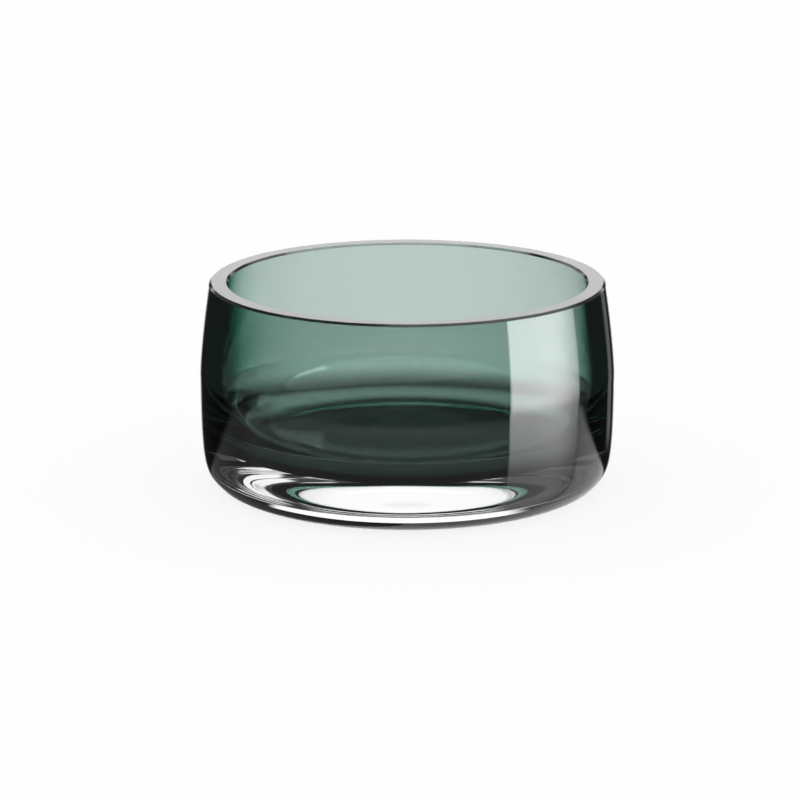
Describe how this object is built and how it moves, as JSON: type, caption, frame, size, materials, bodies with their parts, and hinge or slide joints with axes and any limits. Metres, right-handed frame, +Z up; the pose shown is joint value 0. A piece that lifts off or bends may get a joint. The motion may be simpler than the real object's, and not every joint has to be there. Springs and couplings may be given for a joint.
{
  "type": "glass bowl",
  "caption": "Round thick-walled bowl of clear glass over a thin green glass lining, open at the top, with a heavy base, a ground flat rim and a flat foot.",
  "frame": {"origin": "centre of the foot, on the surface that the bowl stands on", "axes": "+Z up along the bowl's axis; the bowl is round, so +X and +Y have no meaning of their own"},
  "size_m": [0.2, 0.2, 0.1],
  "materials": {
    "clear_glass": "mouth-blown clear glass, fire-polished outside, with the rim's flat and the foot ground and polished",
    "green_glass": "mouth-blown deep green glass, fire-polished, fused to the clear glass outside it"
  },
  "bodies": {
    "root": {"clear_glass_casing": "clear_glass", "green_glass_lining": "green_glass"}
  },
  "joints": []
}
